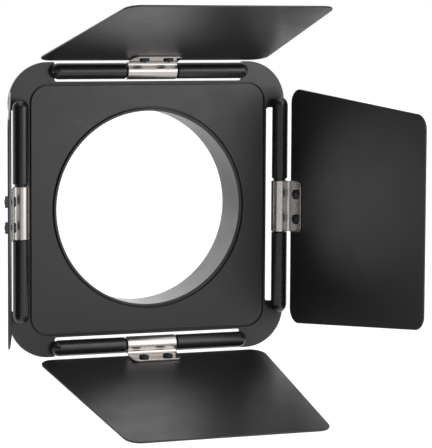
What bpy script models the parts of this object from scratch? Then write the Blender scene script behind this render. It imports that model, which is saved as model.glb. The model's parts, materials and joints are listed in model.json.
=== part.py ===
"""Four-leaf barndoor for a small focusing lamp.

A square plate carries an inlaid front panel and a round collar that slips onto the lamp's
barrel.  Four round hinge bars lie in front of the plate's edge notches.  The top and bottom
bars lie low, with ends that lap onto the plate; the right and left bars are longer and stand
on feet, so that their leaves fold over the other two.  A spring steel clip curls round each
bar's journal, and two screws and nuts hold one trapezoidal leaf to its tab.

World frame: metres, the light leaves along -Y, +Z is up, and the origin is the centre of the
collar's rear mouth.  A side frame has X along its hinge bar, Z pointing outwards and Y along
world Y; its origin is the middle of the hinge axis.  A leaf frame is the side frame turned by
the leaf's opening angle, so the leaf runs along its -Y.
"""

import math

import bmesh
import bpy
from mathutils import Matrix, Vector

MM = 0.001

# Overall driving dimensions
PLATE_SIZE = 130.0 * MM
PLATE_CORNER_RADIUS = 18.0 * MM
PLATE_THICKNESS = 2.0 * MM
BORE_RADIUS = 43.2 * MM
COLLAR_DEPTH = 20.6 * MM
LEAF_LENGTH = 100.0 * MM
LEAF_NEAR_WIDTH = 107.0 * MM
LEAF_FAR_WIDTH = 90.0 * MM
LEAF_THICKNESS = 0.8 * MM
HINGE_OFFSET = 61.0 * MM
BAR_RADIUS = 3.58 * MM

# The two heights of hinge bar: half-length, and distance of the axis in front of the plate
LOW_BAR = {"half_length": 46.5 * MM, "standoff": 1.2 * MM}
HIGH_BAR = {"half_length": 49.0 * MM, "standoff": 4.8 * MM}

# Opening is the angle of each leaf at rest, outwards from straight ahead, in degrees
SIDES = {
    "top": {"turn": 0, "opening": 13.7, "bar": LOW_BAR},
    "right": {"turn": 90, "opening": 10.6, "bar": HIGH_BAR},
    "bottom": {"turn": 180, "opening": 11.4, "bar": LOW_BAR},
    "left": {"turn": 270, "opening": 17.0, "bar": HIGH_BAR},
}

# Clearances between neighbouring pieces
FACE_GAP = 0.15 * MM
FIT_GAP = 0.25 * MM

# Plate and panel
NOTCH_HALF_LENGTH = 44.05 * MM
NOTCH_INNER_EDGE = 56.4 * MM
NOTCH_CORNER_RADIUS = 1.0 * MM
POCKET_HALF = 55.4 * MM
POCKET_DEPTH = 1.0 * MM
POCKET_CORNER_RADIUS = 8.5 * MM
PANEL_THICKNESS = 0.8 * MM
PANEL_SEAM = 0.55 * MM
PANEL_HOLE_RADIUS = 45.15 * MM

# Collar and its rivets
COLLAR_WALL = 1.25 * MM
COLLAR_CHAMFER = 0.4 * MM
FLANGE_RADIUS = 50.5 * MM
FLANGE_THICKNESS = 1.2 * MM
COLLAR_RIVETS = 4
COLLAR_RIVET_CIRCLE = 47.6 * MM
RIVET_SHANK_RADIUS = 1.0 * MM
RIVET_HEAD_RADIUS = 1.8 * MM
RIVET_HEAD_HEIGHT = 0.9 * MM

# Hinge bars
BAR_DOME_LENGTH = 4.0 * MM
JOURNAL_RADIUS = 2.75 * MM
JOURNAL_HALF_LENGTH = 12.1 * MM
SHOULDER_CHAMFER = 0.5 * MM
FOOT_LENGTH = 3.6 * MM
FOOT_SETBACK = 0.8 * MM
FOOT_HALF_WIDTH = 2.3 * MM
FOOT_SCREW_RADIUS = 0.85 * MM
FOOT_SCREW_DEPTH = 3.2 * MM
FOOT_SCREW_HEAD_RADIUS = 1.9 * MM
FOOT_SCREW_HEAD_HEIGHT = 1.1 * MM

# Clips
CLIP_WIDTH = 23.0 * MM
CLIP_THICKNESS = 0.8 * MM
CLIP_THROAT_RADIUS = 1.8 * MM
CLIP_TAB_END = 12.4 * MM
CLIP_TAB_CORNER_RADIUS = 2.2 * MM
CLIP_FREE_END_ANGLE = 75
SIDE_CLIP_DROP = 0.3 * MM

# Leaves
LEAF_NEAR_EDGE = 3.0 * MM
LEAF_INNER_FACE = 4.0 * MM
LEAF_CORNER_RADIUS = 6.5 * MM

# Clamp screws and nuts
SCREW_SPACING = 11.2 * MM
SCREW_REACH = 8.7 * MM
SCREW_RADIUS = 1.2 * MM
SCREW_HEAD_RADIUS = 2.2 * MM
SCREW_HEAD_HEIGHT = 1.0 * MM
SCREW_TIP = 0.2 * MM
RECESS_WIDTH = 0.6 * MM
RECESS_LENGTH = 2.6 * MM
RECESS_DEPTH = 0.55 * MM
NUT_ACROSS_FLATS = 5.0 * MM
NUT_HEIGHT = 1.9 * MM

# Facets
COLLAR_SEGMENTS = 64
BAR_SEGMENTS = 20
SMALL_SEGMENTS = 12

# Derived places
PLATE_FRONT_Y = -COLLAR_DEPTH
PLATE_BACK_Y = PLATE_FRONT_Y + PLATE_THICKNESS
FOOT_SCREW_POSITION = HIGH_BAR["half_length"] - FOOT_SETBACK - FOOT_LENGTH / 2
LEAF_OUTER_FACE = LEAF_INNER_FACE + LEAF_THICKNESS
TAB_FACE = LEAF_INNER_FACE - FACE_GAP - CLIP_THICKNESS

# Colour, roughness and metallic value of each finish
FINISHES = {
    "satin_black": ((0.028, 0.028, 0.029, 1.0), 0.50, 0.0),
    "leaf_black": ((0.024, 0.024, 0.025, 1.0), 0.55, 0.0),
    "bar_black": ((0.020, 0.020, 0.021, 1.0), 0.40, 0.0),
    "nickel": ((0.66, 0.63, 0.60, 1.0), 0.28, 1.0),
    "dark_zinc": ((0.045, 0.050, 0.060, 1.0), 0.35, 1.0),
}


def clear_scene():
    for item in list(bpy.data.objects):
        bpy.data.objects.remove(item, do_unlink=True)


def make_material(name):
    colour, roughness, metallic = FINISHES[name]
    material = bpy.data.materials.new(name)
    material.use_nodes = True
    shader = material.node_tree.nodes["Principled BSDF"]
    shader.inputs["Base Color"].default_value = colour
    shader.inputs["Roughness"].default_value = roughness
    shader.inputs["Metallic"].default_value = metallic
    return material


# ---------------------------------------------------------------- outlines and solids

def arc(centre, radius, start, end, steps):
    """Points on a circle from angle start to angle end, both included, in degrees."""
    points = []
    for step in range(steps + 1):
        angle = math.radians(start + (end - start) * step / steps)
        points.append((centre[0] + radius * math.cos(angle), centre[1] + radius * math.sin(angle)))
    return points


def circle(centre, radius, segments):
    return arc(centre, radius, 0, 360 - 360 / segments, segments - 1)


def fillet(before, corner, after, radius, steps=5):
    """The corner of a polygon rounded to radius."""
    corner = Vector(corner)
    towards = (Vector(before) - corner).normalized()
    away = (Vector(after) - corner).normalized()
    half = towards.angle(away) / 2
    middle = corner + (towards + away).normalized() * (radius / math.sin(half))
    first = corner + towards * (radius / math.tan(half)) - middle
    last = corner + away * (radius / math.tan(half)) - middle
    sweep = first.angle_signed(last)
    points = []
    for step in range(steps + 1):
        turned = first.copy()
        turned.rotate(Matrix.Rotation(-sweep * step / steps, 2))
        points.append(tuple(middle + turned))
    return points


def rounded(corners, radii, steps=5):
    """A closed polygon with each corner rounded to its own radius."""
    points = []
    count = len(corners)
    for index in range(count):
        before = corners[index - 1]
        after = corners[(index + 1) % count]
        points += fillet(before, corners[index], after, radii[index], steps)
    return points


def rounded_square(half, radius, steps=5):
    corners = [(-half, -half), (half, -half), (half, half), (-half, half)]
    return rounded(corners, [radius] * 4, steps)


def to_object(name, mesh_data, material=None, parent=None):
    mesh = bpy.data.meshes.new(name)
    bmesh.ops.recalc_face_normals(mesh_data, faces=mesh_data.faces)
    mesh_data.to_mesh(mesh)
    mesh_data.free()
    item = bpy.data.objects.new(name, mesh)
    bpy.context.scene.collection.objects.link(item)
    if material:
        mesh.materials.append(material)
    if parent:
        item.parent = parent
    return item


def extruded(outline, place, direction):
    """A bmesh prism: each outline point (u, v) goes to place(u, v), then along direction."""
    mesh_data = bmesh.new()
    corners = [mesh_data.verts.new(place(u, v)) for u, v in outline]
    face = mesh_data.faces.new(corners)
    swept = bmesh.ops.extrude_face_region(mesh_data, geom=[face])
    moved = [item for item in swept["geom"] if isinstance(item, bmesh.types.BMVert)]
    bmesh.ops.translate(mesh_data, verts=moved, vec=direction)
    return mesh_data


def plate_solid(name, outline, front, thickness, material=None, parent=None):
    """A flat plate in the XZ plane, from y = front towards +Y."""
    solid = extruded(outline, lambda x, z: (x, front, z), (0, thickness, 0))
    return to_object(name, solid, material, parent)


def turned_solid(name, profile, place, segments, material=None, parent=None):
    """A solid of revolution.

    profile is a list of (station, radius) from one end of the axis to the other, or a closed
    loop; place(station, radius, angle) gives the point.  A radius of zero closes an end.
    """
    mesh_data = bmesh.new()
    rings = []
    for station, radius in profile:
        if radius == 0:
            rings.append([mesh_data.verts.new(place(station, 0, 0))])
            continue
        ring = []
        for index in range(segments):
            angle = 2 * math.pi * index / segments
            ring.append(mesh_data.verts.new(place(station, radius, angle)))
        rings.append(ring)
    closed_loop = profile[0][1] != 0
    pairs = list(zip(rings, rings[1:]))
    if closed_loop:
        pairs.append((rings[-1], rings[0]))
    for first, second in pairs:
        for index in range(segments):
            following = (index + 1) % segments
            corners = [first[index % len(first)], first[following % len(first)],
                       second[following % len(second)], second[index % len(second)]]
            mesh_data.faces.new(list(dict.fromkeys(corners)))
    item = to_object(name, mesh_data, material, parent)
    smooth(item)
    return item


def along_x(station, radius, angle):
    return (station, radius * math.cos(angle), radius * math.sin(angle))


def along_y(station, radius, angle):
    return (radius * math.cos(angle), station, radius * math.sin(angle))


def smooth(item, angle=math.radians(35)):
    item.data.shade_smooth()
    item.data.set_sharp_from_angle(angle=angle)


def boolean(item, tool, operation="DIFFERENCE"):
    """Cut or join tool with item; the tool stays hidden as a wire guide."""
    modifier = item.modifiers.new(operation.lower() + "_" + tool.name, "BOOLEAN")
    modifier.operation = operation
    modifier.solver = "EXACT"
    modifier.object = tool
    tool.hide_render = True
    tool.display_type = "WIRE"


def cylinder_along_y(name, x, z, radius, y_start, y_end, parent=None):
    outline = circle((x, z), radius, SMALL_SEGMENTS)
    return plate_solid(name, outline, y_start, y_end - y_start, parent=parent)


def joined(name, pieces, parent=None):
    """One cutter made of several separate solids."""
    mesh_data = bmesh.new()
    for piece in pieces:
        mesh_data.from_mesh(piece.data)
        bpy.data.objects.remove(piece, do_unlink=True)
    return to_object(name, mesh_data, parent=parent)


# ---------------------------------------------------------------- plate, panel and collar

def collar_rivet_places():
    """Rivets on the collar's flange, turned so that they lie on the plate's diagonals."""
    places = []
    for index in range(COLLAR_RIVETS):
        angle = 2 * math.pi * (index + 0.5) / COLLAR_RIVETS
        x = COLLAR_RIVET_CIRCLE * math.cos(angle)
        z = COLLAR_RIVET_CIRCLE * math.sin(angle)
        places.append((x, z))
    return places


def plate_outline():
    """The square plate with an open notch in the middle of each edge."""
    half = PLATE_SIZE / 2
    quarter = [(-NOTCH_HALF_LENGTH, half), (-NOTCH_HALF_LENGTH, NOTCH_INNER_EDGE),
               (NOTCH_HALF_LENGTH, NOTCH_INNER_EDGE), (NOTCH_HALF_LENGTH, half), (half, half)]
    edge = NOTCH_CORNER_RADIUS / 2
    radii = [edge, NOTCH_CORNER_RADIUS, NOTCH_CORNER_RADIUS, edge, PLATE_CORNER_RADIUS]
    corners = []
    for side in range(4):
        turn = Matrix.Rotation(math.radians(-90 * side), 2)
        corners += [tuple(turn @ Vector(corner)) for corner in quarter]
    points = []
    count = len(corners)
    for index in range(count):
        radius = radii[index % 5]
        steps = 10 if radius == PLATE_CORNER_RADIUS else 2
        points += fillet(corners[index - 1], corners[index], corners[(index + 1) % count],
                         radius, steps)
    return points


def build_frame_plate(materials):
    plate = plate_solid("frame_plate", plate_outline(), PLATE_FRONT_Y, PLATE_THICKNESS,
                        materials["satin_black"])
    pocket = plate_solid("pocket_cutter", rounded_square(POCKET_HALF, POCKET_CORNER_RADIUS),
                         PLATE_FRONT_Y - 1 * MM, POCKET_DEPTH + 1 * MM)
    boolean(plate, pocket)
    bore = plate_solid("bore_cutter", circle((0, 0), BORE_RADIUS + COLLAR_WALL + FIT_GAP,
                                             COLLAR_SEGMENTS),
                       PLATE_FRONT_Y - 1 * MM, PLATE_THICKNESS + 2 * MM)
    boolean(plate, bore)
    holes = []
    for x, z in collar_rivet_places():
        holes.append(cylinder_along_y("hole", x, z, RIVET_SHANK_RADIUS + FIT_GAP,
                                      PLATE_FRONT_Y - 1 * MM, PLATE_BACK_Y + 1 * MM))
    for side in SIDES.values():
        if side["bar"] is LOW_BAR:
            continue
        turn = Matrix.Rotation(math.radians(side["turn"]), 2)
        for end in (-1, 1):
            x, z = turn @ Vector((end * FOOT_SCREW_POSITION, HINGE_OFFSET))
            holes.append(cylinder_along_y("hole", x, z, FOOT_SCREW_RADIUS + FIT_GAP,
                                          PLATE_FRONT_Y - 1 * MM, PLATE_BACK_Y + 1 * MM))
    boolean(plate, joined("plate_hole_cutters", holes))


def build_front_panel(materials):
    half = POCKET_HALF - PANEL_SEAM
    panel = plate_solid("front_panel", rounded_square(half, POCKET_CORNER_RADIUS - PANEL_SEAM),
                        PLATE_FRONT_Y, PANEL_THICKNESS, materials["satin_black"])
    hole = plate_solid("panel_cutter", circle((0, 0), PANEL_HOLE_RADIUS, COLLAR_SEGMENTS),
                       PLATE_FRONT_Y - 1 * MM, PANEL_THICKNESS + 2 * MM)
    boolean(panel, hole)


def build_collar(materials):
    inner = BORE_RADIUS
    outer = BORE_RADIUS + COLLAR_WALL
    flange_front = PLATE_BACK_Y + FIT_GAP
    flange_back = flange_front + FLANGE_THICKNESS
    profile = [
        (PLATE_FRONT_Y + COLLAR_CHAMFER, inner),
        (PLATE_FRONT_Y, inner + COLLAR_CHAMFER),
        (PLATE_FRONT_Y, outer),
        (flange_front, outer),
        (flange_front, FLANGE_RADIUS),
        (flange_back, FLANGE_RADIUS),
        (flange_back, outer),
        (0, outer),
        (0, inner),
    ]
    collar = turned_solid("collar_tube", profile, along_y, COLLAR_SEGMENTS,
                          materials["satin_black"])
    holes = []
    for x, z in collar_rivet_places():
        holes.append(cylinder_along_y("hole", x, z, RIVET_SHANK_RADIUS + FIT_GAP,
                                      flange_front - 1 * MM, flange_back + 1 * MM))
    boolean(collar, joined("flange_hole_cutters", holes))


def build_collar_rivets(materials):
    front = PLATE_FRONT_Y + POCKET_DEPTH + FACE_GAP
    seat = PLATE_BACK_Y + FIT_GAP + FLANGE_THICKNESS + FACE_GAP
    profile = [
        (front, 0),
        (front, RIVET_SHANK_RADIUS),
        (seat, RIVET_SHANK_RADIUS),
        (seat, RIVET_HEAD_RADIUS),
        (seat + 0.6 * RIVET_HEAD_HEIGHT, 0.75 * RIVET_HEAD_RADIUS),
        (seat + RIVET_HEAD_HEIGHT, 0),
    ]
    for number, (x, z) in enumerate(collar_rivet_places(), start=1):
        rivet = turned_solid(f"collar_rivet_{number}", profile, along_y, SMALL_SEGMENTS,
                             materials["dark_zinc"])
        rivet.location = (x, 0, z)


# ---------------------------------------------------------------- hinge bars

def bar_profile(half_length):
    """A round bar with domed ends, chamfered shoulders and a thinner journal."""
    straight = half_length - BAR_DOME_LENGTH
    half = [(half_length, 0)]
    for step in range(1, 5):
        angle = math.radians(90 * step / 4)
        half.append((straight + BAR_DOME_LENGTH * math.cos(angle), BAR_RADIUS * math.sin(angle)))
    half.append((JOURNAL_HALF_LENGTH + SHOULDER_CHAMFER, BAR_RADIUS))
    half.append((JOURNAL_HALF_LENGTH, BAR_RADIUS - SHOULDER_CHAMFER))
    half.append((JOURNAL_HALF_LENGTH, JOURNAL_RADIUS))
    mirrored = [(-station, radius) for station, radius in half]
    return mirrored + half[::-1]


def foot_outline(end):
    """Plan of a high bar's foot, square towards the notch and rounded towards the corner."""
    inner = end * (FOOT_SCREW_POSITION - FOOT_LENGTH / 2)
    outer = end * (FOOT_SCREW_POSITION + FOOT_LENGTH / 2)
    corners = [(inner, -FOOT_HALF_WIDTH), (outer, -FOOT_HALF_WIDTH),
               (outer, FOOT_HALF_WIDTH), (inner, FOOT_HALF_WIDTH)]
    soft = 0.6 * FOOT_HALF_WIDTH
    edge = 0.2 * FOOT_HALF_WIDTH
    return rounded(corners, [edge, soft, soft, edge], 3)


def build_low_bar(side, base, materials):
    """A bar that lies in its notch; behind its ends it is cut flat to lap onto the plate."""
    half_length = LOW_BAR["half_length"]
    bar = turned_solid("hinge_bar_" + side, bar_profile(half_length), along_x, BAR_SEGMENTS,
                       materials["bar_black"], base)
    laps = []
    for end in (-1, 1):
        inner = end * (NOTCH_HALF_LENGTH - FIT_GAP)
        outer = end * (half_length + 1 * MM)
        width = BAR_RADIUS + 1 * MM
        outline = [(inner, -width), (outer, -width), (outer, width), (inner, width)]
        laps.append(plate_solid("lap", outline, LOW_BAR["standoff"] - FIT_GAP, 2 * BAR_RADIUS))
    boolean(bar, joined("lap_cutters_" + side, laps, parent=base))


def build_high_bar(side, base, materials):
    bar = turned_solid("hinge_bar_" + side, bar_profile(HIGH_BAR["half_length"]), along_x,
                       BAR_SEGMENTS, materials["bar_black"], base)
    foot_base = HIGH_BAR["standoff"] - FIT_GAP
    feet = []
    holes = []
    for end in (-1, 1):
        feet.append(plate_solid("foot", foot_outline(end), 0, foot_base))
        holes.append(cylinder_along_y("hole", end * FOOT_SCREW_POSITION, 0,
                                      FOOT_SCREW_RADIUS + FIT_GAP,
                                      foot_base - FOOT_SCREW_DEPTH, foot_base + 1 * MM))
    boolean(bar, joined("feet_" + side, feet, parent=base), "UNION")
    boolean(bar, joined("foot_hole_cutters_" + side, holes, parent=base))


def build_bar_screws(side, base, materials):
    """Two screws from behind the plate into the feet of a high bar."""
    tip = HIGH_BAR["standoff"] - FOOT_SCREW_DEPTH
    seat = HIGH_BAR["standoff"] + PLATE_THICKNESS + FACE_GAP
    top = seat + FOOT_SCREW_HEAD_HEIGHT
    profile = [
        (tip, 0),
        (tip, FOOT_SCREW_RADIUS),
        (seat, FOOT_SCREW_RADIUS),
        (seat, FOOT_SCREW_HEAD_RADIUS),
        (top - 0.35 * FOOT_SCREW_HEAD_HEIGHT, FOOT_SCREW_HEAD_RADIUS),
        (top, 0.75 * FOOT_SCREW_HEAD_RADIUS),
        (top, 0),
    ]
    for number, end in enumerate((-1, 1), start=1):
        screw = turned_solid(f"bar_screw_{side}_{number}", profile, along_y, SMALL_SEGMENTS,
                             materials["dark_zinc"], base)
        screw.location = (end * FOOT_SCREW_POSITION, 0, 0)


# ---------------------------------------------------------------- clips, leaves and screws

def clip_centre_line():
    """The strip's centre line as (reach, height) points, from its free end to the tab's end."""
    barrel = JOURNAL_RADIUS + FIT_GAP + CLIP_THICKNESS / 2
    tab = TAB_FACE + CLIP_THICKNESS / 2
    throat = CLIP_THROAT_RADIUS
    centre = (math.sqrt((barrel + throat) ** 2 - (tab - throat) ** 2), tab - throat)
    join = math.degrees(math.atan2(centre[1], centre[0]))
    points = arc((0, 0), barrel, CLIP_FREE_END_ANGLE, 360 + join, 24)
    points += arc(centre, throat, join + 180, 90, 6)[1:]
    points.append((CLIP_TAB_END, tab))
    return points


def thick_strip(centre_line, thickness):
    """The closed outline of a strip that follows the centre line."""
    left = []
    right = []
    last = len(centre_line) - 1
    for index, point in enumerate(centre_line):
        before = Vector(centre_line[max(index - 1, 0)])
        after = Vector(centre_line[min(index + 1, last)])
        direction = (after - before).normalized()
        side = Vector((-direction.y, direction.x)) * thickness / 2
        left.append(tuple(Vector(point) + side))
        right.append(tuple(Vector(point) - side))
    return left + right[::-1]


def screw_places():
    return [-SCREW_SPACING / 2, SCREW_SPACING / 2]


def build_clip(side, leaf_frame, materials):
    outline = thick_strip(clip_centre_line(), CLIP_THICKNESS)
    solid = extruded(outline, lambda reach, height: (-CLIP_WIDTH / 2, -reach, height),
                     (CLIP_WIDTH, 0, 0))
    clip = to_object("hinge_clip_" + side, solid, materials["nickel"], leaf_frame)
    smooth(clip)
    half = CLIP_WIDTH / 2
    back = BAR_RADIUS + 2 * CLIP_THICKNESS
    corner = CLIP_TAB_CORNER_RADIUS
    blank = rounded([(-half, back), (half, back), (half, -CLIP_TAB_END), (-half, -CLIP_TAB_END)],
                    [0.1 * MM, 0.1 * MM, corner, corner], 4)
    reach = 2 * BAR_RADIUS
    keeper = to_object("clip_outline_" + side,
                       extruded(blank, lambda x, y: (x, y, -reach), (0, 0, 2 * reach)),
                       parent=leaf_frame)
    boolean(clip, keeper, "INTERSECT")
    boolean(clip, screw_hole_cutters("clip_hole_cutters_" + side, leaf_frame))


def screw_hole_cutters(name, leaf_frame):
    cutters = []
    for x in screw_places():
        outline = circle((x, -SCREW_REACH), SCREW_RADIUS + FIT_GAP, SMALL_SEGMENTS)
        solid = extruded(outline, lambda u, v: (u, v, TAB_FACE - 1 * MM),
                         (0, 0, LEAF_OUTER_FACE - TAB_FACE + 2 * MM))
        cutters.append(to_object("hole", solid))
    return joined(name, cutters, parent=leaf_frame)


def build_leaf(side, leaf_frame, materials):
    near = -LEAF_NEAR_EDGE
    far = -LEAF_NEAR_EDGE - LEAF_LENGTH
    wide = LEAF_NEAR_WIDTH / 2
    narrow = LEAF_FAR_WIDTH / 2
    corners = [(-wide, near), (-narrow, far), (narrow, far), (wide, near)]
    outline = rounded(corners, [LEAF_CORNER_RADIUS] * 4, 6)
    solid = extruded(outline, lambda x, y: (x, y, LEAF_INNER_FACE), (0, 0, LEAF_THICKNESS))
    leaf = to_object("leaf_" + side, solid, materials["leaf_black"], leaf_frame)
    boolean(leaf, screw_hole_cutters("leaf_hole_cutters_" + side, leaf_frame))


def cross_outline(x, y):
    """The plan of a cross recess."""
    half = RECESS_WIDTH / 2
    reach = RECESS_LENGTH / 2
    arm = [(reach, -half), (reach, half), (half, half)]
    points = []
    for index in range(4):
        turn = Matrix.Rotation(math.radians(90 * index), 2)
        points += [tuple(Vector((x, y)) + turn @ Vector(point)) for point in arm]
    return points


def build_clamp_screw(name, x, leaf_frame, materials):
    """A cross-recessed screw, its low head on the clip's tab inside the leaf."""
    seat = TAB_FACE - FACE_GAP
    top = seat - SCREW_HEAD_HEIGHT
    tip = LEAF_OUTER_FACE + FACE_GAP + NUT_HEIGHT + SCREW_TIP
    profile = [
        (top, 0),
        (top, 0.75 * SCREW_HEAD_RADIUS),
        (top + 0.4 * SCREW_HEAD_HEIGHT, SCREW_HEAD_RADIUS),
        (seat, SCREW_HEAD_RADIUS),
        (seat, SCREW_RADIUS),
        (tip, SCREW_RADIUS),
        (tip, 0),
    ]

    def place(station, radius, angle):
        return (x + radius * math.cos(angle), -SCREW_REACH + radius * math.sin(angle), station)

    screw = turned_solid(name, profile, place, SMALL_SEGMENTS, materials["dark_zinc"], leaf_frame)
    recess = extruded(cross_outline(x, -SCREW_REACH), lambda u, v: (u, v, top + RECESS_DEPTH),
                      (0, 0, -2 * RECESS_DEPTH))
    boolean(screw, to_object("recess_cutter_" + name, recess, parent=leaf_frame))


def build_nut(name, x, leaf_frame, materials):
    """A hexagon nut on the outside of the leaf, one corner towards the hinge."""
    corner_radius = NUT_ACROSS_FLATS / math.sqrt(3)
    outline = arc((x, -SCREW_REACH), corner_radius, 30, 330, 5)
    seat = LEAF_OUTER_FACE + FACE_GAP
    solid = extruded(outline, lambda u, v: (u, v, seat), (0, 0, NUT_HEIGHT))
    nut = to_object(name, solid, materials["dark_zinc"], leaf_frame)
    hole = circle((x, -SCREW_REACH), SCREW_RADIUS + FIT_GAP, SMALL_SEGMENTS)
    cutter = to_object("hole_cutter_" + name,
                       extruded(hole, lambda u, v: (u, v, seat - 1 * MM),
                                (0, 0, NUT_HEIGHT + 2 * MM)),
                       parent=leaf_frame)
    boolean(nut, cutter)


# ---------------------------------------------------------------- assembly

def build_side(side, settings, materials):
    turn = math.radians(settings["turn"])
    base = bpy.data.objects.new("hinge_frame_" + side, None)
    bpy.context.scene.collection.objects.link(base)
    base.location = (HINGE_OFFSET * math.sin(turn), PLATE_FRONT_Y - settings["bar"]["standoff"],
                     HINGE_OFFSET * math.cos(turn))
    base.rotation_euler = (0, turn, 0)

    leaf_frame = bpy.data.objects.new("leaf_frame_" + side, None)
    bpy.context.scene.collection.objects.link(leaf_frame)
    leaf_frame.parent = base
    leaf_frame.rotation_euler = (-math.radians(settings["opening"]), 0, 0)
    # On the two upright bars the clip hangs a little low between the shoulders of its journal.
    leaf_frame.location = (SIDE_CLIP_DROP * math.sin(turn), 0, 0)

    if settings["bar"] is LOW_BAR:
        build_low_bar(side, base, materials)
    else:
        build_high_bar(side, base, materials)
        build_bar_screws(side, base, materials)
    build_clip(side, leaf_frame, materials)
    build_leaf(side, leaf_frame, materials)
    for number, x in enumerate(screw_places(), start=1):
        build_clamp_screw(f"clamp_screw_{side}_{number}", x, leaf_frame, materials)
        build_nut(f"clamp_nut_{side}_{number}", x, leaf_frame, materials)


def main():
    clear_scene()
    materials = {name: make_material(name) for name in FINISHES}
    build_frame_plate(materials)
    build_front_panel(materials)
    build_collar(materials)
    build_collar_rivets(materials)
    for side, settings in SIDES.items():
        build_side(side, settings, materials)


main()
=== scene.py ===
"""Looks of a four-leaf barndoor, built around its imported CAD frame.

Every piece is modelled finely here, stands for its CAD node and rides on that node's body.
Places come from the frame: the plate's, panel's, collar's and bars' boxes, the hinges' axes,
and the broad face of each leaf.  Sizes below are the details that boxes don't give.
The top and bottom bars lie low in the plate's notches; the other two stand higher on feet.
"""

import json
import math

import bmesh
import bpy
from mathutils import Matrix, Vector


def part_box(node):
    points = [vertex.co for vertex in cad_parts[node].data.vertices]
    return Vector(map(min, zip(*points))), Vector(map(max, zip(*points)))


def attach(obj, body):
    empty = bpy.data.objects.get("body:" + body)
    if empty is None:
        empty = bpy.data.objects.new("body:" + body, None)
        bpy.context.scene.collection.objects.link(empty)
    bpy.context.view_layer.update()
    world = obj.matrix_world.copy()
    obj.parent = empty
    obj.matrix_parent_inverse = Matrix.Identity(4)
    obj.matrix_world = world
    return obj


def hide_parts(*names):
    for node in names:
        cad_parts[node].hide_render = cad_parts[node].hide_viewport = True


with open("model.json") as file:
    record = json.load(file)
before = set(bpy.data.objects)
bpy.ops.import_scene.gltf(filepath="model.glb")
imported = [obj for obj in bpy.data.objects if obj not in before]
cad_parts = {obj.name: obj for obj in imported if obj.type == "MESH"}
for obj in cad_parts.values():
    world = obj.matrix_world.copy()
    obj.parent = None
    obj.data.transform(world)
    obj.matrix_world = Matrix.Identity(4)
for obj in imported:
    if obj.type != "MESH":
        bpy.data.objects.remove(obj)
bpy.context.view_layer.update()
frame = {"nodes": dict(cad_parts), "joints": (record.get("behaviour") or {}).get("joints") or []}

MM = 0.001

# Sizes read from the frame
plate_low, plate_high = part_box("frame_plate")
panel_low, panel_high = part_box("front_panel")
collar_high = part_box("collar_tube")[1]
bar_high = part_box("hinge_bar_top")[1]
tall_bar_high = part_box("hinge_bar_right")[1]
HINGES = {joint["name"].removeprefix("hinge_"): joint for joint in frame["joints"]}
HINGE_OFFSET = HINGES["top"]["pos_m"][2]
LOW_AXIS_Y = HINGES["top"]["pos_m"][1]
HIGH_AXIS_Y = HINGES["right"]["pos_m"][1]
PLATE_HALF = plate_high.x
PLATE_FRONT = plate_low.y
PLATE_BACK = plate_high.y
PANEL_HALF = panel_high.x
PANEL_THICKNESS = panel_high.y - panel_low.y
FLANGE_RADIUS = collar_high.x
COLLAR_REAR = collar_high.y
LOW_BAR_HALF_LENGTH = bar_high.x
HIGH_BAR_HALF_LENGTH = tall_bar_high.z
BAR_RADIUS = bar_high.z - HINGE_OFFSET

# Plate and panel
PLATE_CORNER_RADIUS = 18.0 * MM
PLATE_EDGE = 0.35 * MM
NOTCH_HALF_LENGTH = 44.05 * MM
NOTCH_INNER_EDGE = 56.4 * MM
NOTCH_CORNER_RADIUS = 1.0 * MM
NOTCH_MOUTH_RADIUS = 0.6 * NOTCH_CORNER_RADIUS
POCKET_HALF = 55.4 * MM
POCKET_DEPTH = 1.0 * MM
POCKET_CORNER_RADIUS = 8.5 * MM
POCKET_LIP = 0.2 * MM
PANEL_EDGE = 0.22 * MM
PANEL_HOLE_RADIUS = 45.15 * MM
HOLE_GAP = 0.1 * MM

# Collar and its rivets
BORE_RADIUS = 43.2 * MM
COLLAR_OUTER_RADIUS = 44.45 * MM
COLLAR_HOLE_RADIUS = 44.7 * MM
COLLAR_LIP = 0.45 * MM
COLLAR_EDGE = 0.4 * MM
FLANGE_EDGE = 0.3 * MM
FLANGE_FRONT = PLATE_BACK + 0.25 * MM
FLANGE_THICKNESS = 1.2 * MM
FLANGE_FILLET = 0.9 * MM
RIVET_CIRCLE = 47.6 * MM
RIVETS = 4
RIVET_SHANK_RADIUS = 1.0 * MM
RIVET_HEAD_RADIUS = 1.8 * MM
RIVET_HEAD_HEIGHT = 0.9 * MM
RIVET_RIM = 0.15 * MM

# Hinge bars and the screws into their feet
BAR_DOME_LENGTH = 4.0 * MM
JOURNAL_RADIUS = 2.75 * MM
JOURNAL_HALF_LENGTH = 12.1 * MM
SHOULDER_ROUND = 0.5 * MM
LAP_GAP = 0.1 * MM
FOOT_LENGTH = 3.6 * MM
FOOT_SETBACK = 0.8 * MM
FOOT_HALF_WIDTH = 2.3 * MM
FOOT_EDGE = 0.4 * MM
FOOT_BASE = tall_bar_high.y - HIGH_AXIS_Y
BAR_SCREW_POSITION = HIGH_BAR_HALF_LENGTH - FOOT_SETBACK - FOOT_LENGTH / 2
BAR_SCREW_RADIUS = 0.85 * MM
BAR_SCREW_HEAD_RADIUS = 1.9 * MM
BAR_SCREW_HEAD_HEIGHT = 1.1 * MM
BAR_SCREW_RIM = 0.12 * MM
BAR_SCREW_CROWN = 0.6 * MM
BAR_SCREW_SLOT_HALF_WIDTH = 0.25 * MM
BAR_SCREW_SLOT_DEPTH = 0.55 * MM

# Clips
CLIP_WIDTH = 23.0 * MM
CLIP_THICKNESS = 0.8 * MM
CLIP_EDGE = 0.16 * MM
CLIP_THROAT_RADIUS = 1.8 * MM
CLIP_TAB_END = 12.4 * MM
CLIP_TAB_CORNER_RADIUS = 2.2 * MM
CLIP_FREE_END_ANGLE = 75
CLIP_FREE_END_CORNER_RADIUS = 0.5 * MM
CLIP_GRIP_GAP = 0.25 * MM

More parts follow.
